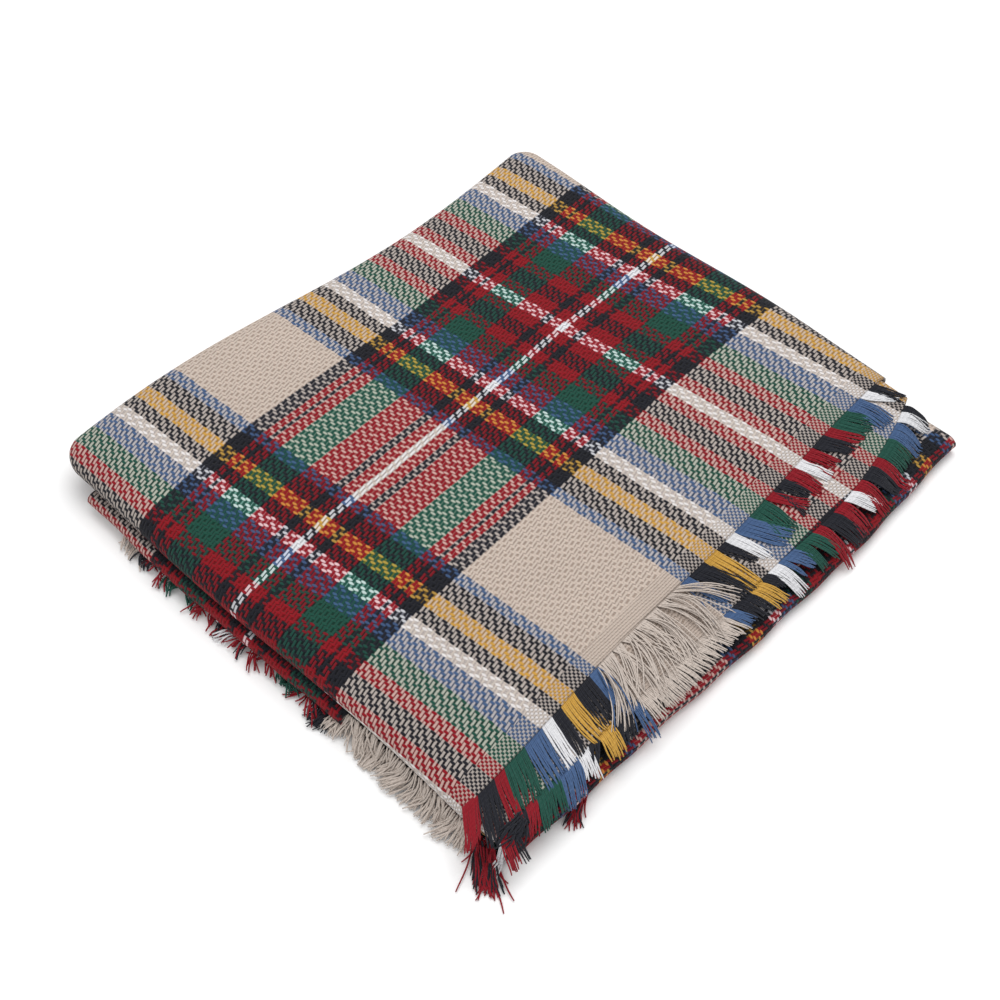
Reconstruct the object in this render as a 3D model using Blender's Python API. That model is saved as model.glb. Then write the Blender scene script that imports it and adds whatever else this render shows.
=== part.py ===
"""A square tartan blanket scarf, folded in four both ways and laid flat.

+X runs along the warp, from the rounded double fold to the fringed ends. +Y runs along the
weft, from the front edge of folds and side fringe to the smooth back fold. +Z is up.
Lengths in the tables are millimetres. Each stretch of cloth that shows is a wall of its own,
and the layers between them share one rounded solid, the core.
"""

import math

import bpy
import numpy as np

MM = 0.001
CLOTH = 1.8  # thickness of one layer
GAP = 0.4  # air between two pieces that lie on each other
STEP = CLOTH + GAP

# The pile is drawn square here, and settle() then leans its front and back with the warp.
HEIGHT = 27.0  # the folded pile, where it is not sagging
LEFT = -177.5  # rounded double fold
FRONT = -172.5  # front fold of the top layer
BACK = 196.5  # smooth back fold
REACH = 174.0  # furthest fringe, on the right
FRONT_REACH = -190.0  # furthest fringe, at the front
FRONT_LEAN, BACK_LEAN = 0.045, 0.075  # how far the front and back run off square, per unit of X
MIDDLE = (-4.7, 8.35)  # middle of the finished pile's box, moved over the origin

LOWER_HEIGHT = 13.0  # the lower bundle, whose fold shows on the right
FRONT_FOLD = (4.6, 13.1)  # bottom and top of the second fold at the front
FRONT_FOLD_OUT = -177.8
TOP_NOSE_BOTTOM = 13.6  # where the top layer's front fold turns under

SAG_START, SAG_LENGTH, SAG_SHARE = 85.0, 90.0, 0.22  # the pile thins towards the fringed ends

WOOL = 0.92  # roughness of every yarn


def top_end(y):
    """Woven end of the top layer: a line that leans with the weft."""
    return 117.9 - 0.085 * y + 1.2 * np.sin(y / 31.0)


def second_end(y):
    """Woven end of the second layer, further out."""
    near = 0.045 * np.clip(52.0 - y, 0.0, None)
    far = 20.0 * np.clip((y - 72.0) / 110.0, 0.0, None) ** 2
    return 143.0 + near - far


def lower_end(y):
    """Outermost line of the lower fold: straight in front, drawn in at the far corner."""
    return 163.8 - 9.0 * np.clip((y - 20.0) / 170.0, 0.0, 1.0) ** 2


def settle(points):
    """The whole pile's lean, sag and slight waviness, the same for every piece so that gaps stay."""
    x, y, z = points[..., 0], points[..., 1], points[..., 2]
    lean = FRONT_LEAN + (BACK_LEAN - FRONT_LEAN) * (y - FRONT) / (BACK - FRONT)
    bulge = 6.0 * np.sin(math.pi * (y + 5.0) / 180.0) * np.clip(-x / 170.0, 0.0, 1.0) ** 2
    share = np.clip((x - SAG_START) / SAG_LENGTH, 0.0, 1.0)
    sag = SAG_SHARE * share * share * (3.0 - 2.0 * share)
    wave = 1.3 * np.sin(x / 38.0) * np.clip(-y / 170.0, 0.0, 1.0) ** 3
    wave += 1.5 * np.sin(x / 29.0 + 1.0) * np.clip(y / 190.0, 0.0, 1.0) ** 3
    swell = 0.02 * np.sin(x / 52.0 + 0.6) * np.sin(y / 61.0)
    low = np.clip(z / HEIGHT, 0.0, 1.0)
    return np.stack([
        x + bulge - MIDDLE[0],
        y + lean * x + wave - MIDDLE[1],
        z * (1.0 - sag) * (1.0 + swell * low),
    ], axis=-1)


def clear_scene():
    for item in list(bpy.data.objects):
        bpy.data.objects.remove(item, do_unlink=True)


def yarn_material(name, colour):
    material = bpy.data.materials.new(name)
    material.use_nodes = True
    shader = material.node_tree.nodes["Principled BSDF"]
    shader.inputs["Base Color"].default_value = (*colour, 1.0)
    shader.inputs["Roughness"].default_value = WOOL
    shader.inputs["Metallic"].default_value = 0.0
    material.diffuse_color = (*colour, 1.0)
    return material


def add_piece(name, points, faces, material):
    """One named object from millimetre points, settled with the pile."""
    mesh = bpy.data.meshes.new(name)
    mesh.from_pydata((settle(points) * MM).tolist(), [], faces)
    mesh.update()
    mesh.shade_smooth()
    mesh.set_sharp_from_angle(angle=math.radians(50))
    mesh.materials.append(material)
    piece = bpy.data.objects.new(name, mesh)
    bpy.context.collection.objects.link(piece)
    return piece


def grid_faces(rows, columns, start, flip):
    """Quads of a grid of points stored row by row."""
    faces = []
    for i in range(rows - 1):
        for j in range(columns - 1):
            corner = start + i * columns + j
            quad = (corner, corner + columns, corner + columns + 1, corner + 1)
            faces.append(quad[::-1] if flip else quad)
    return faces


def wall_between(outer, inner):
    """Points and faces of a closed wall between two grids of the same size.

    The outer grid's rows run along X and its columns along Y, as seen from outside.
    """
    rows, columns = outer.shape[:2]
    count = rows * columns
    points = np.concatenate([outer.reshape(-1, 3), inner.reshape(-1, 3)])
    faces = grid_faces(rows, columns, 0, False) + grid_faces(rows, columns, count, True)
    rim = [(i, 0) for i in range(rows)]
    rim += [(rows - 1, j) for j in range(1, columns)]
    rim += [(i, columns - 1) for i in range(rows - 2, -1, -1)]
    rim += [(0, j) for j in range(columns - 2, 0, -1)]
    ring = [i * columns + j for i, j in rim]
    for here, after in zip(ring, ring[1:] + ring[:1]):
        faces.append((here, here + count, after + count, after))
    return points, faces


def nose(out, top, bottom, upper, tuck, inset):
    """Side profile of a rolled fold, as (outward, height) rows.

    A quarter ellipse of height upper turns down from the top, a straight drop follows, and a
    quarter circle of radius tuck turns the cloth under. inset moves it inwards through the cloth.
    """
    turn = np.radians([0, 20, 40, 60, 78, 90])
    tucked = np.radians([90, 120, 150, 180])
    over = np.stack([
        (out - inset) * np.sin(turn),
        top - upper + (upper - inset) * np.cos(turn),
    ], axis=-1)
    under = np.stack([
        out - tuck + (tuck - inset) * np.sin(tucked),
        bottom + tuck + (tuck - inset) * np.cos(tucked),
    ], axis=-1)
    return np.concatenate([over, under])


def cover_grid(left, front, back, end, radius, profiles):
    """Outer or inner face of a layer that rolls down on its left, front and back.

    Levels count outwards from the flat middle. Round a corner, ring after ring keeps its level
    and swings from one side's profile to the other's.
    """
    side, fore, aft = profiles
    levels = len(side)
    flat_y = np.linspace(front + radius, back - radius, 15)
    rolled = np.arange(levels - 1, 0, -1)
    x_level = np.concatenate([rolled, np.zeros(12)])
    x_share = np.concatenate([np.zeros(levels - 1), np.linspace(0.0, 1.0, 12)])
    y_level = np.concatenate([-rolled, np.zeros(len(flat_y)), rolled[::-1]])
    y_base = np.concatenate([np.full(levels - 1, flat_y[0]), flat_y,
                             np.full(levels - 1, flat_y[-1])])
    lx, ly = np.meshgrid(x_level, y_level, indexing="ij")
    share, base = np.meshgrid(x_share, y_base, indexing="ij")
    depth = np.abs(ly)
    level = np.maximum(lx, depth).astype(int)
    swing = np.where(lx >= depth, depth / np.maximum(lx, 1) / 2,
                     1 - lx / np.maximum(depth, 1) / 2)
    angle = swing * math.pi / 2
    other = np.where((ly < 0)[..., None], fore[level], aft[level])
    reach = side[level] + (other - side[level]) * swing[..., None]
    out, height = reach[..., 0], reach[..., 1]
    x_out = np.where(lx > 0, -np.cos(angle), 0.0) * out
    y_out = np.where(depth > 0, np.sign(ly) * np.where(lx > 0, np.sin(angle), 1.0), 0.0) * out
    inner_x = left + radius
    x = inner_x + x_out + share * (end(base + y_out) - inner_x)
    return np.stack([x, base + y_out, height], axis=-1)


# The two layers over the pile. Each side's roll has its lower edge, the height of its upper
# turn and the radius that tucks it under.
COVERS = {
    "top_layer": {
        "top": HEIGHT, "radius": 14.0, "left": LEFT, "front": FRONT, "back": BACK, "end": top_end,
        "rolls": ((19.9, 4.5, 2.4), (TOP_NOSE_BOTTOM, 7.0, 4.0), (1.0, 10.0, 4.0)),
    },
    "second_layer": {
        "top": HEIGHT - STEP, "radius": 11.8, "left": LEFT + 5.0, "front": FRONT + STEP,
        "back": BACK - STEP, "end": second_end,
        "rolls": ((20.4, 2.2, 1.9), (15.8, 5.9, 2.0), (13.8, 8.5, 2.0)),
    },
}


def cover(name, material):
    """A layer of cloth over the pile, with a wall between its outer and inner faces."""
    row = COVERS[name]
    grids = []
    for inset in (0.0, CLOTH):
        profiles = [nose(row["radius"], row["top"], bottom, upper, tuck, inset)
                    for bottom, upper, tuck in row["rolls"]]
        grids.append(cover_grid(row["left"], row["front"], row["back"], row["end"],
                                row["radius"], profiles))
    points, faces = wall_between(*grids)
    return add_piece(name, points, faces, material)


def fold_section(height, leg, turns=8):
    """Section of a folded edge: outer and inner C, as (outward, height) rows from bottom to top.

    Outward is measured from the tip, so it is negative inside.
    """
    radius = height / 2
    angle = np.linspace(-math.pi / 2, math.pi / 2, turns + 1)
    faces = []
    for r in (radius, radius - CLOTH):
        bend = np.stack([r * np.cos(angle) - radius, radius + r * np.sin(angle)], axis=-1)
        start, stop = bend[0].copy(), bend[-1].copy()
        start[0] = stop[0] = -leg
        faces.append(np.vstack([start, bend, stop]))
    return faces


def lower_fold(material):
    """The fold of the lower bundle: a C of cloth that opens inwards and lies on the ground."""
    y = np.linspace(FRONT + 5.0, BACK - 4.6, 15)
    tip = lower_end(y)
    grids = []
    for section in fold_section(LOWER_HEIGHT, 50.0):
        x = tip[:, None] + section[None, :, 0]
        z = np.broadcast_to(section[None, :, 1], x.shape)
        grids.append(np.stack([x, np.broadcast_to(y[:, None], x.shape), z], axis=-1))
    points, faces = wall_between(*grids)
    return add_piece("lower_fold", points, faces, material)


def front_fold(material):
    """The second fold at the front, just under the top layer's and a little further out."""
    x = np.linspace(-150.0, 50.0, 12)
    bottom, top = FRONT_FOLD
    grids = []
    for section in fold_section(top - bottom, 24.0):
        y = FRONT_FOLD_OUT - section[None, :, 0] + np.zeros((len(x), 1))
        z = np.broadcast_to(bottom + section[None, :, 1], y.shape)
        grids.append(np.stack([np.broadcast_to(x[:, None], y.shape), y, z], axis=-1))
    points, faces = wall_between(*grids)
    return add_piece("front_fold", points, faces, material)


def bottom_layer(material):
    """The lowest layer's edge at the front, whose weft ends make the side fringe."""
    x = np.linspace(-156.0, 108.0, 14)
    y = np.linspace(FRONT + 2.0, FRONT + 35.0, 4)
    plan = np.stack(np.meshgrid(x, y, indexing="ij"), axis=-1)
    grids = [np.concatenate([plan, np.full(plan.shape[:2] + (1,), z)], axis=-1)
             for z in (CLOTH, 0.0)]
    points, faces = wall_between(*grids)
    return add_piece("bottom_layer", points, faces, material)


def slot_end(y):
    """Inner end of the lower fold's legs, where the core is cut back."""
    return lower_end(y) - 50.0 - GAP


LEFT_LAYERS, LEFT_LAYERS_TOP = 3, 19.4  # rounded folds stacked under the top one, on the left


def left_inset(height):
    """How far the core stays inside the left line: stacked half-round folds, then a step in."""
    if height > LEFT_LAYERS_TOP:
        return 8.0 + 3.0 * max(0.0, height - 20.6)
    share = height / LEFT_LAYERS_TOP * LEFT_LAYERS
    across = 2.0 * (share - min(int(share), LEFT_LAYERS - 1)) - 1.0
    return 0.5 + 2.8 * (1.0 - math.sqrt(max(0.0, 1.0 - across * across)))


# The core's rings, from the ground up. end says which line the right side follows, and end
# inset how far it stays inside it; front and back insets are from the pile's own lines.
CORE_ENDS = {
    "slot": slot_end,
    "fold": lambda y: lower_end(y) - STEP,
    "layer": lambda y: second_end(y) - 2.0,
}
CORE_RINGS = (
    # height, end, end inset, front inset, back inset
    (0.0, "slot", 0.0, 36.0, 4.8),
    (1.1, "slot", 0.0, 36.0, 4.8),
    (2.2, "slot", 0.0, 36.0, 4.8),
    (2.2, "fold", 4.3, 6.0, 4.8),
    (3.4, "fold", 1.6, 6.0, 4.6),
    (4.2, "fold", 0.8, 6.4, 3.6),
    (4.2, "fold", 0.8, 23.0, 3.6),
    (5.6, "fold", 0.2, 23.0, 2.8),
    (6.4, "fold", 0.1, 23.0, 2.4),
    (6.8, "fold", 0.1, 23.0, 2.4),
    (6.8, "fold", 0.1, 4.2, 2.4),
    (8.8, "fold", 0.8, 3.4, 2.4),
    (10.8, "fold", 4.3, 5.0, 2.4),
    (10.8, "slot", 0.0, 23.0, 2.4),
    (12.2, "slot", 0.0, 23.0, 2.4),
    (12.9, "slot", 0.0, 23.0, 2.4),
    (13.5, "slot", 0.0, 23.0, 2.4),
    (13.5, "layer", 0.0, 9.0, 5.0),
    (14.6, "layer", 0.6, 8.6, 5.0),
    (16.4, "layer", 0.0, 8.6, 5.0),
    (18.2, "layer", 0.6, 9.2, 5.4),
    (19.0, "layer", 0.3, 9.8, 5.8),
    (19.4, "layer", 0.3, 10.2, 6.0),
    (19.5, "layer", 0.3, 10.2, 6.0),
    (21.8, "layer", 1.2, 12.8, 9.0),
    (22.4, "layer", 2.6, 15.4, 12.4),
)
CORE_CORNER = 20.0


def core_ring(height, end, end_inset, front_inset, back_inset):
    """A rounded rectangle at one height, its right side following an end line."""
    left, front, back = LEFT + left_inset(height), FRONT + front_inset, BACK - back_inset
    r = CORE_CORNER
    along_y = np.linspace(front + r, back - r, 11)
    quarter = np.radians(np.linspace(0, 90, 5))[1:-1]
    turn, swing = r * np.cos(quarter), r * np.sin(quarter)

    def right(y):
        return CORE_ENDS[end](y) - end_inset

    x_front, x_back = right(along_y[0]) - r, right(along_y[-1]) - r
    front_x, back_x = (np.linspace(left + r, x, 9) for x in (x_front, x_back))
    sides = (
        (right(along_y), along_y),
        (x_back + turn, back - r + swing),
        (back_x[::-1], np.full(9, back)),
        (left + r - swing, back - r + turn),
        (np.full(11, left), along_y[::-1]),
        (left + r - turn, front + r - swing),
        (front_x, np.full(9, front)),
        (x_front + swing, front + r - turn),
    )
    x, y = (np.concatenate(values) for values in zip(*sides))
    return np.column_stack([x, y, np.full(len(x), height)])


def loft(rings):
    """Points and faces of a solid through closed rings, from the bottom up, capped flat."""
    size = len(rings[0])
    faces = [tuple(range(size - 1, -1, -1))]
    for i in range(len(rings) - 1):
        for j in range(size):
            after = (j + 1) % size
            faces.append((i * size + j, i * size + after,
                          (i + 1) * size + after, (i + 1) * size + j))
    last = (len(rings) - 1) * size
    faces.append(tuple(range(last, last + size)))
    return np.vstack(rings), faces


def core(material):
    """The hidden layers as one rounded solid, slotted where the outer folds reach into it."""
    points, faces = loft([core_ring(*row) for row in CORE_RINGS])
    return add_piece("core", points, faces, material)


def strip(stations, sections):
    """Points and faces of a solid with a four-cornered section at each station.

    sections holds, for each station, its corners in order round the section.
    """
    count = len(stations)
    size = sections.shape[1]
    faces = [tuple(range(size)), tuple((count - 1) * size + k for k in reversed(range(size)))]
    for i in range(count - 1):
        for k in range(size):
            after = (k + 1) % size
            faces.append((i * size + k, (i + 1) * size + k,
                          (i + 1) * size + after, i * size + after))
    return sections.reshape(-1, 3), faces


# Fringe of the woven ends: where it starts, its reach, and its bottom and top at each end.
END_FRINGES = {
    # name: (end line, first y, last y, reach, (bottom, top) at the cloth, (bottom, top) at the tips)
    "top_end_fringe": (top_end, FRONT + 5.0, BACK - 4.0, 25.0, (25.2, 27.2), (25.4, 26.6)),
    "second_end_fringe": (second_end, FRONT + 9.0, BACK - 7.0, 17.0, (22.6, 24.6), (13.6, 16.2)),
}


def end_fringe(name, material):
    """Plain solid of the reach of one woven end's fringe."""
    end, first, last, reach, at_cloth, at_tips = END_FRINGES[name]
    y = np.linspace(first, last, 15)
    start = end(y) + GAP
    corners = [(start, at_cloth[0]), (start + reach, at_tips[0]),
               (start + reach, at_tips[1]), (start, at_cloth[1])]
    sections = np.stack([np.stack([x, y, np.full_like(y, z)], axis=-1)
                         for x, z in corners], axis=1)
    points, faces = strip(y, sections)
    return add_piece(name, points, faces, material)


# Fringe of the weft ends along the front, from under the folds out to its reach.
SIDE_FRINGE_ROOT = FRONT + 1.6
SIDE_FRINGES = {
    # name: x from, x to, reach at each, height at the tips, height at the root
    "dark_side_fringe": (-128.0, 45.0, -177.5, FRONT_REACH, 2.4, 4.2),
    "beige_side_fringe": (51.0, 140.0, FRONT_REACH, -188.0, 3.6, 12.4),
}


def side_fringe(name, material):
    """Plain solid of the reach of the weft ends, lying against the front and on the ground."""
    first, last, first_reach, last_reach, tip_height, root_height = SIDE_FRINGES[name]
    x = np.linspace(first, last, 9)
    reach = np.linspace(first_reach, last_reach, 9)
    root = np.full(9, SIDE_FRINGE_ROOT)
    corners = ((root, 0.0), (reach, 0.0), (reach, tip_height), (root, root_height))
    sections = np.stack([np.stack([x, y, np.full(9, z)], axis=-1) for y, z in corners], axis=1)
    points, faces = strip(x, sections)
    return add_piece(name, points, faces, material)


# Loose bunches of yarn on the ground: x from and to, y from and to, height.
BUNCHES = {
    "corner_tassel": (141.0, REACH, FRONT_REACH, FRONT + 1.0, 6.0),
    "small_tuft": (164.4, REACH, -134.0, -116.0, 3.0),
}


def bunch(name, material):
    """Plain solid of a bunch of loose yarns: a low block with its top edges drawn in."""
    x0, x1, y0, y1, height = BUNCHES[name]
    inset = height / 3
    rings = []
    for z, draw in ((0.0, 0.0), (height * 0.6, 0.0), (height, inset)):
        rings.append(np.array([(x1 - draw, y0 + draw, z), (x1 - draw, y1 - draw, z),
                               (x0 + draw, y1 - draw, z), (x0 + draw, y0 + draw, z)]))
    points, faces = loft(rings)
    return add_piece(name, points, faces, material)


def main():
    clear_scene()
    beige = yarn_material("beige_yarn", (0.62, 0.53, 0.45))
    dark = yarn_material("dark_red_yarn", (0.25, 0.02, 0.03))
    for name in COVERS:
        cover(name, beige)
    core(yarn_material("hidden_layers", (0.45, 0.40, 0.36)))
    lower_fold(dark)
    front_fold(dark)
    bottom_layer(beige)
    for name in END_FRINGES:
        end_fringe(name, yarn_material(name, (0.20, 0.26, 0.36)))
    side_fringe("dark_side_fringe", dark)
    side_fringe("beige_side_fringe", beige)
    for name in BUNCHES:
        bunch(name, yarn_material(name, (0.40, 0.03, 0.05)))


main()
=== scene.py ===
"""The looks of a square tartan blanket scarf, folded in four both ways and laid flat.

Lengths are millimetres in the pile's own square drawing, as in the part's source; settle()
leans, sags and waves every point alike, and add_mesh() turns the result into metres. Each
stretch of cloth carries a UV map, "cloth", that holds its place on the opened cloth: U runs
along the warp from the middle of a white line, V along the weft from the middle of a beige
stripe. The tartan is worked out from it, yarn by yarn.
"""

import math

import bpy
import numpy as np
from mathutils import Matrix, Vector


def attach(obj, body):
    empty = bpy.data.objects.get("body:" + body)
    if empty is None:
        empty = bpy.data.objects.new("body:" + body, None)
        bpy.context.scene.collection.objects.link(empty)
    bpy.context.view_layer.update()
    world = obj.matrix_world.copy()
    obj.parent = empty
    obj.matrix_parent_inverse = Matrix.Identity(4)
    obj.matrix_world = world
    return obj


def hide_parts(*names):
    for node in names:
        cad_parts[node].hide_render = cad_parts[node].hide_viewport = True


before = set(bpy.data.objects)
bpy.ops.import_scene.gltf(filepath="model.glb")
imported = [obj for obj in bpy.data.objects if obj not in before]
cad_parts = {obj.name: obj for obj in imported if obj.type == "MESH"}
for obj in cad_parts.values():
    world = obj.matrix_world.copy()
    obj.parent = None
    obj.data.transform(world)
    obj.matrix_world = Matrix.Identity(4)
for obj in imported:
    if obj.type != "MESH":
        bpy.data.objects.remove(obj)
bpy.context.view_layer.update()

# ---------------------------------------------------------------------------------------
# Sizes, the same as the part's
# ---------------------------------------------------------------------------------------

MM = 0.001
CLOTH = 1.8  # thickness of one layer
STEP = CLOTH + 0.4  # from one layer to the next
HEIGHT = 27.0  # the folded pile, where it is not sagging
LEFT, FRONT, BACK = -177.5, -172.5, 196.5  # its rounded double fold, front fold and back fold
FRONT_LEAN, BACK_LEAN = 0.045, 0.075  # how far the front and back run off square, per unit of X
MIDDLE = (-4.7, 8.35)  # middle of the finished pile's box, moved over the origin
LOWER_HEIGHT, LOWER_LEG = 13.0, 50.0  # the lower bundle, and how far in its fold's cloth runs
FRONT_FOLD = (4.6, 13.1)  # bottom and top of the second fold at the front
FRONT_FOLD_OUT, FRONT_FOLD_LEG = -177.8, 24.0  # its outermost line, and how far in it runs
SAG_START, SAG_LENGTH, SAG_SHARE = 85.0, 90.0, 0.22  # the pile thins towards the fringed ends

# The two layers over the pile. Each side's roll has its lower edge, the height of its upper
# turn and the radius that tucks it under.
COVERS = {
    "top_layer": {
        "top": HEIGHT, "radius": 14.0, "left": LEFT, "front": FRONT, "back": BACK,
        "rolls": ((19.9, 4.5, 2.4), (13.6, 7.0, 4.0), (1.0, 10.0, 4.0)),
    },
    "second_layer": {
        "top": HEIGHT - STEP, "radius": 11.8, "left": LEFT + 5.0, "front": FRONT + STEP,
        "back": BACK - STEP, "rolls": ((20.4, 2.2, 1.9), (15.8, 5.9, 2.0), (13.8, 8.5, 2.0)),
    },
}


def top_end(y):
    """Woven end of the top layer: a line that leans with the weft."""
    return 117.9 - 0.085 * y + 1.2 * np.sin(y / 31.0)


def second_end(y):
    """Woven end of the second layer, further out."""
    near = 0.045 * np.clip(52.0 - y, 0.0, None)
    far = 20.0 * np.clip((y - 72.0) / 110.0, 0.0, None) ** 2
    return 143.0 + near - far


def lower_end(y):
    """Outermost line of the lower fold: straight in front, drawn in at the far corner."""
    return 163.8 - 9.0 * np.clip((y - 20.0) / 170.0, 0.0, 1.0) ** 2


# Soft troughs and ridges pressed into the pile by hand. heading is the crease's direction,
# and depth is negative for a ridge.
CREASES = (
    # x, y, heading in degrees, half length, half width, depth
    (-118.0, 60.0, 78.0, 70.0, 16.0, 0.9),
    (-96.0, -96.0, 35.0, 48.0, 11.0, 0.7),
    (-30.0, 128.0, 12.0, 55.0, 14.0, 0.8),
    (34.0, 30.0, 96.0, 80.0, 18.0, -0.7),
    (70.0, -60.0, 110.0, 60.0, 12.0, 0.8),
    (96.0, 92.0, 64.0, 50.0, 10.0, 0.9),
    (104.0, -118.0, 20.0, 34.0, 9.0, -0.8),
    (-20.0, -134.0, 4.0, 62.0, 9.0, 0.7),
    (-150.0, 146.0, 130.0, 30.0, 9.0, 0.8),
)


def creases(x, y):
    """Sum of the creases: each is depth times a bell across it and a wider bell along it."""
    total = np.zeros_like(x)
    for at_x, at_y, heading, length, width, depth in CREASES:
        c, s = math.cos(math.radians(heading)), math.sin(math.radians(heading))
        along = ((x - at_x) * c + (y - at_y) * s) / length
        across = ((y - at_y) * c - (x - at_x) * s) / width
        total -= depth * np.exp(-along * along - across * across)
    return total


def settle(points):
    """The whole pile's lean, sag, waviness and creases, in its own finished frame.

    The first three are the part's. The creases fade towards the ground, and every piece shares
    them, so the layers stay clear of each other.
    """
    x, y, z = points[..., 0], points[..., 1], points[..., 2]
    lean = FRONT_LEAN + (BACK_LEAN - FRONT_LEAN) * (y - FRONT) / (BACK - FRONT)
    bulge = 6.0 * np.sin(math.pi * (y + 5.0) / 180.0) * np.clip(-x / 170.0, 0.0, 1.0) ** 2
    share = np.clip((x - SAG_START) / SAG_LENGTH, 0.0, 1.0)
    sag = SAG_SHARE * share * share * (3.0 - 2.0 * share)
    wave = 1.3 * np.sin(x / 38.0) * np.clip(-y / 170.0, 0.0, 1.0) ** 3
    wave += 1.5 * np.sin(x / 29.0 + 1.0) * np.clip(y / 190.0, 0.0, 1.0) ** 3
    swell = 0.02 * np.sin(x / 52.0 + 0.6) * np.sin(y / 61.0)
    low = np.clip(z / HEIGHT, 0.0, 1.0)
    return np.stack([
        x + bulge - MIDDLE[0],
        y + lean * x + wave - MIDDLE[1],
        z * (1.0 - sag) * (1.0 + swell * low) + creases(x, y) * low,
    ], axis=-1)


# ---------------------------------------------------------------------------------------
# The tartan: its setts, and where a point of the pile lies on the opened cloth
# ---------------------------------------------------------------------------------------

YARN = 1.347  # from one warp yarn to the next, along Y
PICK = 2.28  # from one weft pick to the next, along X
RAISED = (0, 2, 3, 1)  # the warp yarn of four that each of four picks passes under
WEFT_HALF = 0.35  # half the width of a weft yarn, in picks
WEFT_SLANT = 0.10  # how far it drifts along a float, in picks to a warp yarn
WARP_FLOAT = (0.76, 0.58)  # half the length of a raised warp float in picks, and half its width
WARP_SLANT = -0.10  # how far that float leans, in picks to a warp yarn
SUNK, WEFT_TOP = 0.24, 0.82  # heights of a sunken warp yarn and of a weft yarn; a raised one's is 1
PLAIN_END = 11.0  # the last stretch before a fringe is plain woven
CLOSER_END = 0.5  # and how much closer its picks lie
NO_END = 99.0  # distance from a woven end, for cloth that shows none

# Colours of the yarns, linear.
YARNS = {
    "beige": (0.585, 0.51, 0.455),
    "blue": (0.066, 0.122, 0.250),
    "black": (0.017, 0.018, 0.025),
    "mustard": (0.57, 0.33, 0.065),
    "white": (0.74, 0.74, 0.76),
    "green": (0.016, 0.082, 0.060),
    "red": (0.26, 0.009, 0.018),
}
# How each tints a yarn that crosses it, by its hue and darker the darker it is itself: partly fuzz
# that blends the colours, partly painted shade and bounced light from that neighbour.
FUZZ_AND_SHADE_TINTS = {name: tuple(part / (max(colour) + 0.1) for part in colour)
         for name, colour in YARNS.items()}

# Stripes from the middle of the beige one to the middle of the white one, in warp yarns; the
# rest of the cloth mirrors them.
WARP_SETT = (
    ("beige", 25.5), ("blue", 5), ("black", 8.5), ("mustard", 7), ("black", 5.5), ("white", 6),
    ("blue", 9), ("green", 10.5), ("red", 5.5), ("black", 8), ("red", 6.5), ("white", 3),
)
# The same across it, in picks, from the middle of the white line.
WEFT_SETT = (
    ("white", 1), ("red", 3), ("black", 2), ("red", 8), ("green", 9), ("red", 3), ("black", 1),
    ("red", 2), ("black", 4), ("beige", 25.5),
)


def sett_colours(sett, count):
    """Yarn colour at each count of yarns from the sett's middle, mirrored at both ends."""
    widths = np.array([width for _, width in sett])
    table = np.array([YARNS[name] for name, _ in sett])
    period = widths.sum()
    folded = period - np.abs(np.mod(count, 2.0 * period) - period)
    at = np.searchsorted(np.cumsum(widths), folded, side="right")
    return table[np.minimum(at, len(sett) - 1)]


BEIGE_HALF = WARP_SETT[0][1] * YARN  # half the width of a beige warp stripe
BEIGE_LINE = -50.2  # where the middle of the beige warp stripe runs on the pile, near its left


def white_line(y):
    """Where the white line of the weft runs on the pile: a slow bend, bowed more at both ends."""
    bow = 2.6 * np.clip(((y + 5.0) / 95.0) ** 2, 0.0, 1.0)
    return -41.8 - 0.034 * (y + 50.0) + 1.72e-4 * (y + 50.0) * (y - 184.0) - bow


def stripe_drift(x, y):
    """How far the warp stripes stray to the back, most at the woven end's far corner."""
    along = np.clip((x + 170.0) / 276.0, 0.0, None) ** 1.25
    spread = along * (12.7 + 0.05 * np.clip(y, 0.0, None))
    far, near = np.clip(y + 20.0, 0.0, None), np.clip(-80.0 - y, 0.0, None)
    return spread - 1.0 + 0.015 * far - 0.075 * near


def on_cloth(x, y):
    """Place on the opened cloth of a point of a layer, straightening its white line and stripes."""
    across = y - BEIGE_LINE - 0.012 * (x + 147.0) - stripe_drift(x, y)
    return np.stack([x - white_line(y), across], axis=-1)


# ---------------------------------------------------------------------------------------
# Meshes
# ---------------------------------------------------------------------------------------

def add_mesh(name, points, faces, material, cloth=None, **values):
    """One object from settled millimetre points and arrays of faces.

    cloth holds a UV pair for each corner of each face, and values a number or a colour for
    each point.
    """
    mesh = bpy.data.meshes.new(name)
    mesh.vertices.add(len(points))
    mesh.vertices.foreach_set("co", (settle(points) * MM).astype(np.float32).ravel())
    corners = np.concatenate([group.ravel() for group in faces]).astype(np.int32)
    sizes = np.concatenate([np.full(len(group), group.shape[1]) for group in faces])
    starts = np.concatenate([[0], np.cumsum(sizes)[:-1]]).astype(np.int32)
    mesh.loops.add(len(corners))
    mesh.loops.foreach_set("vertex_index", corners)
    mesh.polygons.add(len(sizes))
    mesh.polygons.foreach_set("loop_start", starts)
    if cloth is not None:
        layer = mesh.uv_layers.new(name="cloth")
        layer.uv.foreach_set("vector", (cloth * MM).astype(np.float32).ravel())
    for key, value in values.items():
        kind, field = ("FLOAT", "value") if value.ndim == 1 else ("FLOAT_COLOR", "color")
        attribute = mesh.attributes.new(key, kind, "POINT")
        attribute.data.foreach_set(field, value.astype(np.float32).ravel())
    mesh.update(calc_edges=True)
    mesh.shade_smooth()
    mesh.materials.append(material)
    piece = bpy.data.objects.new(name, mesh)
    bpy.context.scene.collection.objects.link(piece)
    return piece


def grid_quads(rows, columns):
    """Faces of a grid of points stored row by row, facing up where rows run along X."""
    i, j = np.meshgrid(np.arange(rows - 1), np.arange(columns - 1), indexing="ij")
    first = (i * columns + j).ravel()
    return np.stack([first, first + columns, first + columns + 1, first + 1], axis=-1)


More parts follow.
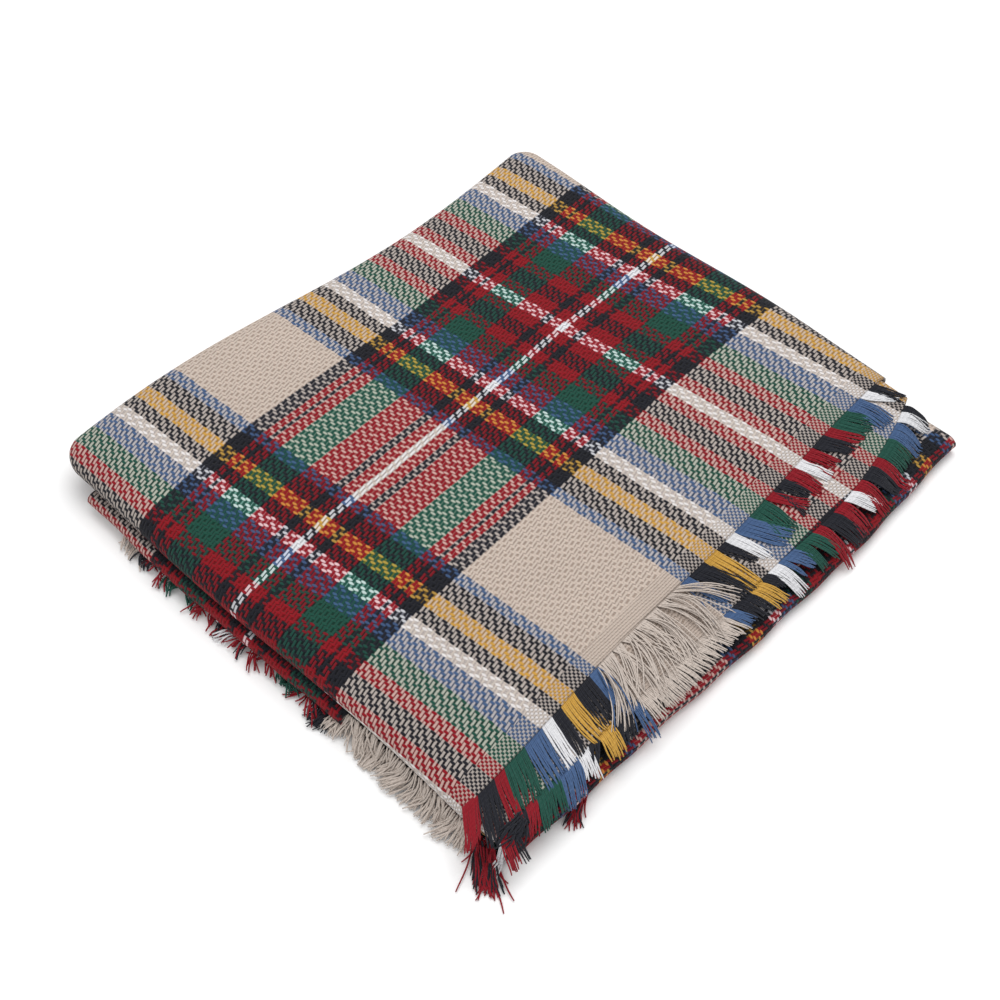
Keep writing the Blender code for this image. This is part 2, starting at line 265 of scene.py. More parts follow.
def add_cloth(name, node, points, cloth, to_end, material):
    """A sheet of cloth on a grid, given its thickness inwards, standing for one CAD solid."""
    quads = grid_quads(*points.shape[:2])
    flat = cloth.reshape(-1, 2)
    piece = add_mesh(name, points.reshape(-1, 3), [quads], material,
                     flat[quads.ravel()], to_end=to_end.ravel())
    wall = piece.modifiers.new("thickness", "SOLIDIFY")
    wall.thickness = CLOTH * MM
    wall.offset = -1.0
    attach(piece, "root")
    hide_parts(node)
    return piece


def nose(out, top, bottom, upper, tuck):
    """Side of a rolled fold, as (outward, height) rows.

    A quarter ellipse of height upper turns down from the top, a straight drop follows, and a
    quarter circle of radius tuck turns the cloth under.
    """
    turn = np.linspace(0.0, math.pi / 2, 10)
    over = np.stack([out * np.sin(turn), top - upper + upper * np.cos(turn)], axis=-1)
    tucked = np.linspace(math.pi / 2, math.pi, 6)
    under = np.stack([out - tuck + tuck * np.sin(tucked),
                      bottom + tuck + tuck * np.cos(tucked)], axis=-1)
    drop = np.linspace(over[-1], under[0], 5)[1:-1]
    return np.concatenate([over, drop, under])


def run_length(profile):
    """Length of cloth from the first row of a profile to each row."""
    pieces = np.linalg.norm(np.diff(profile, axis=0), axis=1)
    return np.concatenate([[0.0], np.cumsum(pieces)])


def cover(name, node, end, columns_x, columns_y, material):
    """A layer over the pile that rolls down on its left, front and back.

    Levels count outwards from the flat middle. Round a corner, ring after ring keeps its level
    and swings from one side's profile to the other's. columns_x are shares of the way from the
    left roll to the woven end.
    """
    row = COVERS[node]
    side, fore, aft = (nose(row["radius"], row["top"], *roll) for roll in row["rolls"])
    side, fore, aft = (np.column_stack([profile, run_length(profile)])
                       for profile in (side, fore, aft))
    levels = len(side)
    radius = row["radius"]
    flat_y = np.linspace(row["front"] + radius, row["back"] - radius, columns_y)
    rolled = np.arange(levels - 1, 0, -1)
    x_level = np.concatenate([rolled, np.zeros(len(columns_x))])
    x_share = np.concatenate([np.zeros(levels - 1), columns_x])
    y_level = np.concatenate([-rolled, np.zeros(columns_y), rolled[::-1]])
    y_base = np.concatenate([np.full(levels - 1, flat_y[0]), flat_y,
                             np.full(levels - 1, flat_y[-1])])
    lx, ly = np.meshgrid(x_level, y_level, indexing="ij")
    share, base = np.meshgrid(x_share, y_base, indexing="ij")
    depth = np.abs(ly)
    level = np.maximum(lx, depth).astype(int)
    swing = np.where(lx >= depth, depth / np.maximum(lx, 1) / 2,
                     1 - lx / np.maximum(depth, 1) / 2)
    angle = swing * math.pi / 2
    other = np.where((ly < 0)[..., None], fore[level], aft[level])
    out, height, run = np.moveaxis(side[level] + (other - side[level]) * swing[..., None], -1, 0)
    to_left = np.where(lx > 0, -np.cos(angle), 0.0)
    to_side = np.where(depth > 0, np.sign(ly) * np.where(lx > 0, np.sin(angle), 1.0), 0.0)
    inner_x = row["left"] + radius
    y = base + to_side * out
    flat_x = inner_x + share * (end(y) - inner_x)
    points = np.stack([flat_x + to_left * out, y, height], axis=-1)
    cloth = on_cloth(flat_x + to_left * run, base + to_side * run)
    return add_cloth(name, node, points, cloth, (1.0 - share) * (end(y) - inner_x), material)


def fold_section(height, leg, turns=20, legs=14):
    """Section of a folded edge, a C as (outward, height, run) rows from bottom to top.

    Outward is measured from the tip, and run is the length of cloth from it.
    """
    radius = height / 2
    angle = np.linspace(-math.pi / 2, math.pi / 2, turns + 1)
    bend = np.stack([radius * np.cos(angle) - radius, radius + radius * np.sin(angle)], axis=-1)
    inwards = np.linspace(leg, radius, legs)[:-1]
    bottom = np.stack([-inwards, np.zeros(legs - 1)], axis=-1)
    top = np.stack([-inwards[::-1], np.full(legs - 1, height)], axis=-1)
    section = np.vstack([bottom, bend, top])
    run = run_length(section)
    return np.column_stack([section, run - run.mean()])


LOWER_FOLD_TIP = 58.0  # where on the opened cloth the lower fold's outermost line lies
LOWER_FOLD_SHIFT = 3.5  # how far its stripes are from the top layer's
FRONT_FOLD_SHIFT = 13.0  # how far the second fold's bands are from the top layer's


def lower_fold(material):
    """The fold of the lower bundle: a C of cloth that opens inwards and lies on the ground."""
    y = np.linspace(FRONT + 5.0, BACK - 4.6, 240)[:, None]
    out, height, run = fold_section(LOWER_HEIGHT, LOWER_LEG).T[:, None, :]
    lumps = 0.5 * np.sin(y / 7.3) + 0.4 * np.sin(y / 17.0 + 2.0)
    inside = np.clip(1.0 + out / 12.0, 0.0, 1.0)
    points = np.stack(np.broadcast_arrays(lower_end(y) + out + lumps * inside - 0.5, y, height), -1)
    cloth = np.stack(np.broadcast_arrays(run + LOWER_FOLD_TIP,
                                         y - BEIGE_LINE - LOWER_FOLD_SHIFT), axis=-1)
    return add_cloth("lower_fold_cloth", "lower_fold", points, cloth,
                     np.full(points.shape[:2], NO_END), material)


def front_fold(material):
    """The second fold at the front, just under the top layer's and a little further out."""
    x = np.linspace(-150.0, 50.0, 130)[:, None]
    bottom, top = FRONT_FOLD
    out, height, run = fold_section(top - bottom, FRONT_FOLD_LEG, legs=8).T[:, None, :]
    lumps = 0.5 * np.sin(x / 6.1) + 0.5 * np.sin(x / 15.0 + 1.0)
    inside = np.clip(1.0 + out / 8.0, 0.0, 1.0)
    y = FRONT_FOLD_OUT - out + 0.5 * inside * (1.0 - lumps)
    points = np.stack(np.broadcast_arrays(x, y, bottom + height), axis=-1)
    cloth = np.stack(np.broadcast_arrays(x - white_line(FRONT) - FRONT_FOLD_SHIFT,
                                         FRONT_FOLD_OUT - BEIGE_LINE + run), axis=-1)
    return add_cloth("front_fold_cloth", "front_fold", points, cloth,
                     np.full(points.shape[:2], NO_END), material)


def bottom_layer(material):
    """The lowest layer's edge at the front, whose weft ends make the side fringe."""
    x, y = np.meshgrid(np.linspace(-156.0, 108.0, 130), np.linspace(FRONT + 2.0, FRONT + 35.0, 16),
                       indexing="ij")
    points = np.stack([x, y, np.full_like(x, CLOTH)], axis=-1)
    cloth = np.stack([x - white_line(y), y - BEIGE_LINE], axis=-1)
    return add_cloth("bottom_cloth", "bottom_layer", points, cloth, y - FRONT - 2.0, material)


LEFT_LAYERS, LEFT_LAYERS_TOP = 3, 19.4  # rounded folds stacked under the top one, on the left


def left_inset(height):
    """How far the hidden layers stay inside the left line: half-round folds, then a step."""
    share = height / LEFT_LAYERS_TOP * LEFT_LAYERS
    across = 2.0 * (share - np.minimum(np.floor(share), LEFT_LAYERS - 1)) - 1.0
    folds = 0.5 + 2.8 * (1.0 - np.sqrt(np.clip(1.0 - across * across, 0.0, None)))
    return np.where(height > LEFT_LAYERS_TOP, 8.0 + 3.0 * np.clip(height - 20.6, 0.0, None), folds)


# The hidden layers' outline: lines that its right side keeps to, and how far inside them and
# inside the pile's front and back it lies at each height.
CORE_ENDS = {
    "slot": lambda y: lower_end(y) - LOWER_LEG - 0.4,
    "fold": lambda y: lower_end(y) - STEP,
    "layer": lambda y: second_end(y) - 2.0,
}
CORE_RINGS = (
    # height, end, end inset, front inset, back inset
    (0.0, "slot", 0.0, 36.0, 4.8),
    (2.2, "slot", 0.0, 36.0, 4.8),
    (2.2, "fold", 4.3, 6.0, 4.8),
    (3.4, "fold", 1.6, 6.0, 4.6),
    (4.2, "fold", 0.8, 6.4, 3.6),
    (4.2, "fold", 0.8, 23.0, 3.6),
    (5.6, "fold", 0.2, 23.0, 2.8),
    (6.8, "fold", 0.1, 23.0, 2.4),
    (6.8, "fold", 0.1, 4.2, 2.4),
    (8.8, "fold", 0.8, 3.4, 2.4),
    (10.8, "fold", 4.3, 5.0, 2.4),
    (10.8, "slot", 0.0, 23.0, 2.4),
    (13.5, "slot", 0.0, 23.0, 2.4),
    (13.5, "layer", 0.0, 9.0, 5.0),
    (14.6, "layer", 0.6, 8.6, 5.0),
    (16.4, "layer", 0.0, 8.6, 5.0),
    (18.2, "layer", 0.6, 9.2, 5.4),
    (19.5, "layer", 0.3, 10.2, 6.0),
    (21.8, "layer", 1.2, 12.8, 9.0),
    (22.4, "layer", 2.6, 15.4, 12.4),
)
CORE_CORNER = 20.0


def core_ring(height, end, end_inset, front_inset, back_inset):
    """A rounded rectangle at one height, and the outward direction at each of its points."""
    left = LEFT + float(left_inset(np.float64(height)))
    front, back, r = FRONT + front_inset, BACK - back_inset, CORE_CORNER
    along_y = np.linspace(front + r, back - r, 90)
    quarter = np.radians(np.linspace(0, 90, 10))[1:-1]
    cos, sin = np.cos(quarter), np.sin(quarter)

    def right(y):
        return CORE_ENDS[end](y) - end_inset

    x_front, x_back = right(along_y[0]) - r, right(along_y[-1]) - r
    front_x, back_x = (np.linspace(left + r, x, 80) for x in (x_front, x_back))
    sides = (
        (right(along_y), along_y, np.ones(90), np.zeros(90)),
        (x_back + r * cos, back - r + r * sin, cos, sin),
        (back_x[::-1], np.full(80, back), np.zeros(80), np.ones(80)),
        (left + r - r * sin, back - r + r * cos, -sin, cos),
        (np.full(90, left), along_y[::-1], -np.ones(90), np.zeros(90)),
        (left + r - r * cos, front + r - r * sin, -cos, -sin),
        (front_x, np.full(80, front), np.zeros(80), -np.ones(80)),
        (x_front + r * sin, front + r - r * cos, sin, -cos),
    )
    x, y, out_x, out_y = (np.concatenate(values) for values in zip(*sides))
    return np.column_stack([x, y, np.full(len(x), height)]), np.column_stack([out_x, out_y])


def hidden_folds(material):
    """All the layers that do not show, lofted through rings, with the tartan run over the edges.

    Between two rows of the table the rings follow in steps of about half a millimetre.
    """
    rows = [CORE_RINGS[0]]
    for below, above in zip(CORE_RINGS, CORE_RINGS[1:]):
        count = max(1, round((above[0] - below[0]) / 0.5))
        for share in np.linspace(0.0, 1.0, count + 1)[1:]:
            numbers = [a + (b - a) * share for a, b in zip(below[2:], above[2:])]
            rows.append((below[0] + (above[0] - below[0]) * share, above[1], *numbers))
    rings = [core_ring(*row) for row in rows]
    points = np.stack([ring for ring, _ in rings])
    outward = np.stack([out for _, out in rings])
    count, size = points.shape[:2]
    run = np.cumsum(np.linalg.norm(np.diff(points, axis=0, prepend=points[:1]), axis=2), axis=0)
    run = run[-1] - run
    flat = points[-1:, :, :2] + outward * run[..., None]
    cloth = on_cloth(flat[..., 0], flat[..., 1]).reshape(-1, 2)
    i, j = np.meshgrid(np.arange(count - 1), np.arange(size), indexing="ij")
    here, after = (i * size + j).ravel(), (i * size + (j + 1) % size).ravel()
    quads = np.stack([here, after, after + size, here + size], axis=-1)
    under = np.arange(size - 1, -1, -1)[None, :]
    over = (count - 1) * size + np.arange(size)[None, :]
    plan = on_cloth(points[..., 0], points[..., 1]).reshape(-1, 2)
    corners = np.concatenate([cloth[quads.ravel()], plan[under.ravel()], plan[over.ravel()]])
    piece = add_mesh("hidden_folds", points.reshape(-1, 3), [quads, under, over], material,
                     corners, to_end=np.full(count * size, NO_END))
    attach(piece, "root")
    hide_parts("core")
    return piece


# ---------------------------------------------------------------------------------------
# Loose yarns
# ---------------------------------------------------------------------------------------

YARN_SIDES = 6


def smooth(share):
    """Ramp from 0 to 1 with level ends."""
    share = np.clip(share, 0.0, 1.0)
    return share * share * (3.0 - 2.0 * share)


def tubes(lines, radius):
    """Points, quads and end caps of a round tube along each row of points in lines.

    Each ring lies across its line: its first axis is the level one, its second the cross
    product of the line's direction with the first.
    """
    along = np.gradient(lines, axis=1)
    along /= np.linalg.norm(along, axis=2, keepdims=True)
    level = np.stack([-along[..., 1], along[..., 0], np.zeros(along.shape[:2])], axis=-1)
    level /= np.maximum(np.linalg.norm(level, axis=2, keepdims=True), 1e-6)
    up = np.cross(along, level)
    sides = YARN_SIDES
    angle = np.arange(sides) * 2.0 * math.pi / sides
    spread = (level[:, :, None] * np.cos(angle)[:, None] + up[:, :, None] * np.sin(angle)[:, None])
    points = lines[:, :, None] + spread * radius[..., None, None]
    count, rings = lines.shape[:2]
    n, i, k = np.meshgrid(np.arange(count), np.arange(rings - 1), np.arange(sides), indexing="ij")
    base = (n * rings + i) * sides
    here, after = (base + k).ravel(), (base + (k + 1) % sides).ravel()
    quads = np.stack([here, after, after + sides, here + sides], axis=-1)
    first = np.arange(count)[:, None] * rings * sides
    start = first + np.arange(sides)[::-1]
    stop = first + (rings - 1) * sides + np.arange(sides)
    return points.reshape(-1, 3), [quads, start, stop]


def add_yarns(name, node, lines, colours, thickness, material):
    """Loose yarns as one mesh, each with its colour. Its UV map holds run and share of a turn."""
    count, rings = lines.shape[:2]
    share = np.linspace(0.0, 1.0, rings)
    radius = thickness[:, None] / 2 * (1.0 - 0.35 * share ** 6)
    points, faces = tubes(lines, radius)
    run = np.cumsum(np.linalg.norm(np.diff(lines, axis=1, prepend=lines[:, :1]), axis=2), axis=1)
    run = np.repeat(run[..., None], YARN_SIDES, axis=2)
    round_it = np.broadcast_to(np.arange(YARN_SIDES) / YARN_SIDES, run.shape)
    cloth = np.stack([run, round_it], axis=-1).reshape(-1, 2)
    colour = np.concatenate([colours, np.ones((count, 1))], axis=1)
    colour = np.repeat(colour, rings * YARN_SIDES, axis=0)
    corners = np.concatenate([group.ravel() for group in faces])
    piece = add_mesh(name, points, faces, material, cloth[corners], yarn=colour)
    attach(piece, "root")
    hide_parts(node)
    return piece


def ribbons(colours, usual, rng):
    """Number of the flat ribbon that each yarn of an edge belongs to.

    A ribbon ends where the colour changes, and by chance, about once in the usual number of yarns.
    """
    change = np.any(np.diff(colours, axis=0, prepend=colours[:1]) != 0.0, axis=1)
    change |= rng.random(len(colours)) < 1.0 / usual
    return np.cumsum(change)


def lay(root, heading, reach, curl, rest, start, lift, rng, rings=14):
    """Centre lines of yarns that leave an edge and come to rest.

    Each runs out along its heading, bends sideways by curl times the square of its share, and
    wanders a little. Its height goes smoothly from start to what it rests on, plus a low hump.
    """
    share = np.linspace(0.0, 1.0, rings)[None, :]
    out = reach[:, None] * share
    phase, rate = rng.random((2, len(reach), 1))
    wander = 0.35 * np.sin(6.3 * (share * (0.7 + rate) + phase)) * share
    side = curl[:, None] * share ** 2 + wander
    c, s = np.cos(heading)[:, None], np.sin(heading)[:, None]
    x = root[:, :1] + out * c - side * s
    y = root[:, 1:] + out * s + side * c
    z = rest(x, y) + lift[:, None] * (0.35 + np.sin(math.pi * share))
    z = start[:, None] + (z - start[:, None]) * smooth(out / 6.0)
    return np.stack([x, y, np.maximum(z, 0.5)], axis=-1)


def under_end_fringe(x, y):
    """Height of what an end's yarns rest on: the second layer, a fall past it, the lower fold."""
    beyond = np.clip(x - second_end(y), 0.0, None)
    fall = (HEIGHT - STEP) * (1.0 - (beyond / 25.0) ** 2)
    radius = LOWER_HEIGHT / 2
    past = np.clip(x - lower_end(y) + radius, 0.0, None)
    fold = radius + np.sqrt(np.clip(radius ** 2 - past ** 2, 0.0, None))
    fold = np.where(past > radius, radius - 2.0 * (past - radius), fold)
    return np.maximum(np.maximum(fall, fold), 0.0)


# The fringes of the two woven ends: where they run, the height they start at, the reach of
# their yarns near the front and near the back, how much it varies, and how high they may lie.
END_FRINGES = {
    "top_end_yarns": {
        "node": "top_end_fringe", "end": top_end, "from": FRONT + 1.5, "to": BACK - 13.0,
        "start": HEIGHT - 0.9, "reach": (27.0, 20.0), "vary": 2.4, "lift": 0.5, "seed": 4,
    },
    "second_end_yarns": {
        "node": "second_end_fringe", "end": second_end, "from": FRONT + 6.0, "to": BACK - 12.0,
        "start": HEIGHT - STEP - 0.9, "reach": (16.0, 20.0), "vary": 2.0, "lift": 0.2, "seed": 9,
    },
}
# The mop of loose yarns: how wide its clumps are and how much more they stray than a yarn does,
# a yarn's thickness, and each of its other measures with how much a yarn strays from it. The
# heading, in degrees, is the one at the stripe's middle, and turns with the place on the edge.
MOP = {
    "clump": 3.6, "clumps_stray": 2.2, "thickness": 0.76, "heading": (10.0, 5.0), "turn": 0.45,
    "curl": (-8.0, 1.8), "reach": (33.0, 1.5), "lift": (0.4, 0.7),
}


def end_fringe(name, material):
    """Warp yarns left loose at a woven end, combed into flat ribbons of one colour.

    Near the front the ribbons swing towards it, and near the back away from it. The top
    layer's beige stripe opens into a mop of clumps of longer yarns that bend back down.
    """
    row = END_FRINGES[name]
    rng = np.random.default_rng(row["seed"])
    y = np.arange(row["from"], row["to"], YARN / 3)
    mop_half = BEIGE_HALF * (name == "top_end_yarns")
    mop = np.abs(on_cloth(0.0, y)[:, 1]) < mop_half
    y = y[mop | (np.arange(len(y)) % 2 == 0)]
    x = row["end"](y) - 1.0
    place = on_cloth(x, y)[:, 1]
    mop = np.abs(place) < mop_half
    colours = sett_colours(WARP_SETT, np.floor(place / YARN) + 0.5)
    ribbon = ribbons(colours, 30, rng)
    many = ribbon.max() + 1
    near, far = row["reach"]
    reach = near + (far - near) * smooth((y - 15.0) / 90.0)
    reach += row["vary"] * rng.normal(size=many)[ribbon] + 0.7 * rng.normal(size=len(y))
    heading = -19.0 + 38.0 * smooth((y + 95.0) / 90.0) - 14.0 * smooth((-125.0 - y) / 45.0)
    heading += 3.5 * rng.normal(size=many)[ribbon] + 0.9 * rng.normal(size=len(y))
    curl = 2.6 * rng.normal(size=many)[ribbon] + 0.35 * rng.normal(size=len(y))
    lift = row["lift"] * (rng.random(many)[ribbon] + 1.2 * rng.random(len(y))) + 0.4
    clump = np.floor((y - y[0]) / MOP["clump"]).astype(int)
    stray = rng.normal(size=(4, len(y)))
    stray += MOP["clumps_stray"] * rng.normal(size=(4, clump.max() + 1))[:, clump]
    stray[3] = np.abs(stray[3])
    headed, curled, reached, lifted = (MOP[key][0] + MOP[key][1] * part for key, part in
                                       zip(("heading", "curl", "reach", "lift"), stray))
    heading = np.where(mop, headed + MOP["turn"] * (y + 50.0), heading)
    curl = np.where(mop, curled, curl)
    reach = np.where(mop, reached, reach)
    lift = np.where(mop, lifted, lift)
    thickness = np.where(mop, MOP["thickness"], rng.uniform(0.9, 1.06, len(y)))
    root = np.column_stack([x, y])
    lines = lay(root, np.radians(heading), reach, curl, under_end_fringe,
                np.full(len(y), row["start"]), lift, rng)
    return add_yarns(name, row["node"], lines, colours, thickness, material)


def ground(x, y):
    """Height at which a yarn's middle lies on the table."""
    return np.zeros_like(x) + 0.45


# Weft yarns left loose along the front, in tufts: x from and to, where they leave the pile and
# how high, their usual reach and how much it varies, how many for each pick, and how far their
# heading turns from straight out, in degrees.
TUFT = 6.0
SIDE_FRINGES = {
    "dark_side_yarns": {
        "node": "dark_side_fringe", "from": -122.0, "to": 47.0, "root": FRONT + 1.0,
        "start": (1.0, 6.0), "reach": (8.5, 2.2), "plies": 3, "seed": 21, "turn": 8.0,
    },
    "beige_side_yarns": {
        "node": "beige_side_fringe", "from": 34.0, "to": 141.0, "root": FRONT + 1.5,
        "start": (3.0, 13.0), "reach": (10.0, 2.5), "plies": 8, "seed": 22, "turn": 10.0,
    },
}


def side_fringe(name, material):
    """Weft yarns left loose along the front edge, falling to the ground."""
    row = SIDE_FRINGES[name]
    rng = np.random.default_rng(row["seed"])
    x = np.arange(row["from"], row["to"], PICK / row["plies"])
    x = x + 0.8 * rng.normal(size=len(x))
    y = np.full(len(x), row["root"])
    place = on_cloth(x, y)[:, 0]
    colours = sett_colours(WEFT_SETT, np.floor(place / PICK) + 0.5)
    tuft = np.floor(x / TUFT).astype(int)
    tuft -= tuft.min()
    many = tuft.max() + 1
    turn = row["turn"] + 16.0 * rng.normal(size=many)[tuft] + 12.0 * rng.normal(size=len(x))
    heading = np.radians(turn - 90.0)
    usual, spread = row["reach"]
    reach = usual + spread * rng.normal(size=many)[tuft] + 1.5 * rng.normal(size=len(x))
    curl = 4.0 * rng.normal(size=many)[tuft] + 2.5 * rng.normal(size=len(x))
    lift = 3.0 * rng.random(many)[tuft] + 2.0 * rng.random(len(x))
    start = rng.uniform(*row["start"], len(x))
    lines = lay(np.column_stack([x, y]), heading, np.clip(reach, 5.0, 19.0), curl, ground, start,
                lift, rng, rings=12)
    return add_yarns(name, row["node"], lines, colours, rng.uniform(0.8, 1.2, len(x)), material)


# Loose bunches, group by group: how many yarns, their colours, where they leave the pile, the
# heights they start at, then their heading in degrees, their reach and how far they bend aside,
# each with its spread, and whether they come to rest on the pile or on the table.
BUNCHES = {
    "corner_tassel_yarns": {
        "node": "corner_tassel", "seed": 31, "groups": (
            (95, ("red", "red", "black", "red"), (141.0, 154.0), (FRONT - 1.0, FRONT + 4.0),
             (0.5, 9.0), (-44.0, 8.0), (21.0, 3.0), (0.0, 2.6), ground),
            (16, ("white",), (154.0, 157.0), (FRONT + 5.0, FRONT + 9.0),
             (15.0, 18.0), (-50.0, 6.0), (15.0, 2.0), (-8.0, 1.5), ground),
            (60, ("black",), (150.0, 158.0), (-161.0, -148.0),
             (12.5, 15.5), (-52.0, 7.0), (12.0, 1.5), (-5.0, 1.5), under_end_fringe),
        ),
    },
    "small_tuft_yarns": {
        "node": "small_tuft", "seed": 32, "groups": (
            (30, ("red", "black", "red"), (160.0, 163.0), (-124.0, -116.0),
             (0.5, 3.0), (-58.0, 9.0), (14.0, 2.0), (0.0, 2.0), ground),
        ),
    },
}


def bunch(name, material):
    """Loose yarns that hang from a corner and lie on the table or on the pile."""
    row = BUNCHES[name]
    rng = np.random.default_rng(row["seed"])
    lines, colours = [], []
    for count, names, x, y, start, heading, reach, curl, rest in row["groups"]:
        root = np.column_stack([rng.uniform(*x, count), rng.uniform(*y, count)])
        turn, length, bend = (middle + spread * rng.normal(size=count)
                              for middle, spread in (heading, reach, curl))
        lines.append(lay(root, np.radians(turn), length, bend, rest, rng.uniform(*start, count),
                         2.5 * rng.random(count), rng))
        table = np.array([YARNS[colour] for colour in names])
        colours.append(table[rng.integers(len(names), size=count)])
    lines, colours = np.concatenate(lines), np.concatenate(colours)
    return add_yarns(name, row["node"], lines, colours, rng.uniform(0.8, 1.0, len(lines)), material)


# ---------------------------------------------------------------------------------------
# Materials
# ---------------------------------------------------------------------------------------

class Number:
    """A number in a material. Arithmetic on it adds Math nodes."""

    def __init__(self, paint, socket):
        self.paint, self.socket = paint, socket

    def math(self, operation, *others):
        return self.paint.add("ShaderNodeMath", {"operation": operation}, [self, *others])

    def __add__(self, other):
        return self.math("ADD", other)

    def __sub__(self, other):
        return self.math("SUBTRACT", other)

    def __mul__(self, other):
        return self.math("MULTIPLY", other)

    def __truediv__(self, other):
        return self.math("DIVIDE", other)

    def __rsub__(self, other):
        return self.paint.add("ShaderNodeMath", {"operation": "SUBTRACT"}, [other, self])

    __radd__, __rmul__ = __add__, __mul__

    def __mod__(self, other):
        return self.math("FLOORED_MODULO", other)

    def floor(self):
        return self.math("FLOOR")

    def root(self):
        """Square root, and nothing below zero."""
        return self.math("MAXIMUM", 0.0).math("SQRT")

    def above(self, edge, softness):
        """0 below an edge and 1 above it, over a band as wide as softness."""
        settings = {"interpolation_type": "SMOOTHSTEP"}
        return self.paint.add("ShaderNodeMapRange", settings,
                              [self, edge - softness / 2, edge + softness / 2, 0.0, 1.0])


class Paint:
    """A material's node tree, built up by add()."""

    def __init__(self, name, roughness, sheen):
        self.material = bpy.data.materials.new(name)
        self.material.use_nodes = True
        self.tree = self.material.node_tree
        self.shader = self.tree.nodes["Principled BSDF"]
        self.shader.inputs["Roughness"].default_value = roughness
        self.shader.inputs["Sheen Weight"].default_value = sheen
        self.shader.inputs["Sheen Roughness"].default_value = 0.6
        self.shader.inputs["Specular IOR Level"].default_value = 0.1

    def feed(self, socket, value):
        if isinstance(value, Number):
            self.tree.links.new(value.socket, socket)
        elif value is not None:
            socket.default_value = value

    def add(self, kind, settings, inputs=(), output=0):
        """One node: its settings are set first, then its inputs, by place or by name."""
        node = self.tree.nodes.new(kind)
        for key, value in settings.items():
            setattr(node, key, value)
        named = inputs.items() if isinstance(inputs, dict) else enumerate(inputs)
        for key, value in named:
            self.feed(node.inputs[key], value)
        return Number(self, node.outputs[output])

    def mix(self, share, first, second, blend="MIX"):
        """Colour mixed from first to second."""
        settings = {"data_type": "RGBA", "blend_type": blend, "clamp_factor": True}
        return self.add("ShaderNodeMix", settings, {0: share, 6: first, 7: second}, 2)

    def noise(self, vector, scale, detail):
        return self.add("ShaderNodeTexNoise", {"noise_dimensions": "3D"},
                        {"Vector": vector, "Scale": scale, "Detail": detail})

    def finish(self, colour, height, depth):
        """Feeds the shader its colour, and its height as a bump of a depth in millimetres."""
        self.feed(self.shader.inputs["Base Color"], colour)
        bump = self.add("ShaderNodeBump", {},
                        {"Strength": 1.0, "Distance": depth * MM, "Height": height})
        self.feed(self.shader.inputs["Normal"], bump)
        return self.material


def sett_ramp(paint, sett, count, colours):
    """Colour of the yarn at a count from the sett's middle: a stepped, mirrored ramp."""
    period = sum(width for _, width in sett)
    folded = count.math("PINGPONG", period) / period
    ramp = paint.add("ShaderNodeValToRGB", {}, [folded])
    stops = ramp.socket.node.color_ramp
    stops.interpolation = "CONSTANT"
    stops.elements.remove(stops.elements[0])
    at = 0.0
    for name, width in sett:
        stop = stops.elements[0] if at == 0.0 else stops.elements.new(at / period)
        stop.position = at / period
        stop.color = (*colours[name], 1.0)
        at += width
    return ramp


def raised_yarns(picks, yarns, ending, shift):
    """How far inside a raised warp float a place is, and how many yarns from its middle.

    The first is 1 - (p / a)^2 - (q / b)^2, with p picks and q yarns from the float's middle. shift
    is the pick that the float crosses, counted from the place's own.
    """
    pick = picks.floor() + shift
    of_four = pick % 4.0
    raised = sum(of_four.math("COMPARE", float(at), 0.1) * float(yarn)
                 for at, yarn in enumerate(RAISED) if yarn)
    twill = ((yarns - raised + 1.5) % 4.0) - 2.0
    plain = ((yarns + pick + 0.5) % 2.0) - 1.0
    off_yarn = twill + (plain - twill) * ending
    off_pick = (picks - pick - 0.5) + off_yarn * WARP_SLANT
    long, wide = WARP_FLOAT[0] - ending * 0.22, WARP_FLOAT[1] - ending * 0.08
    p, q = off_pick / long, off_yarn / wide
    return 1.0 - p * p - q * q, off_yarn


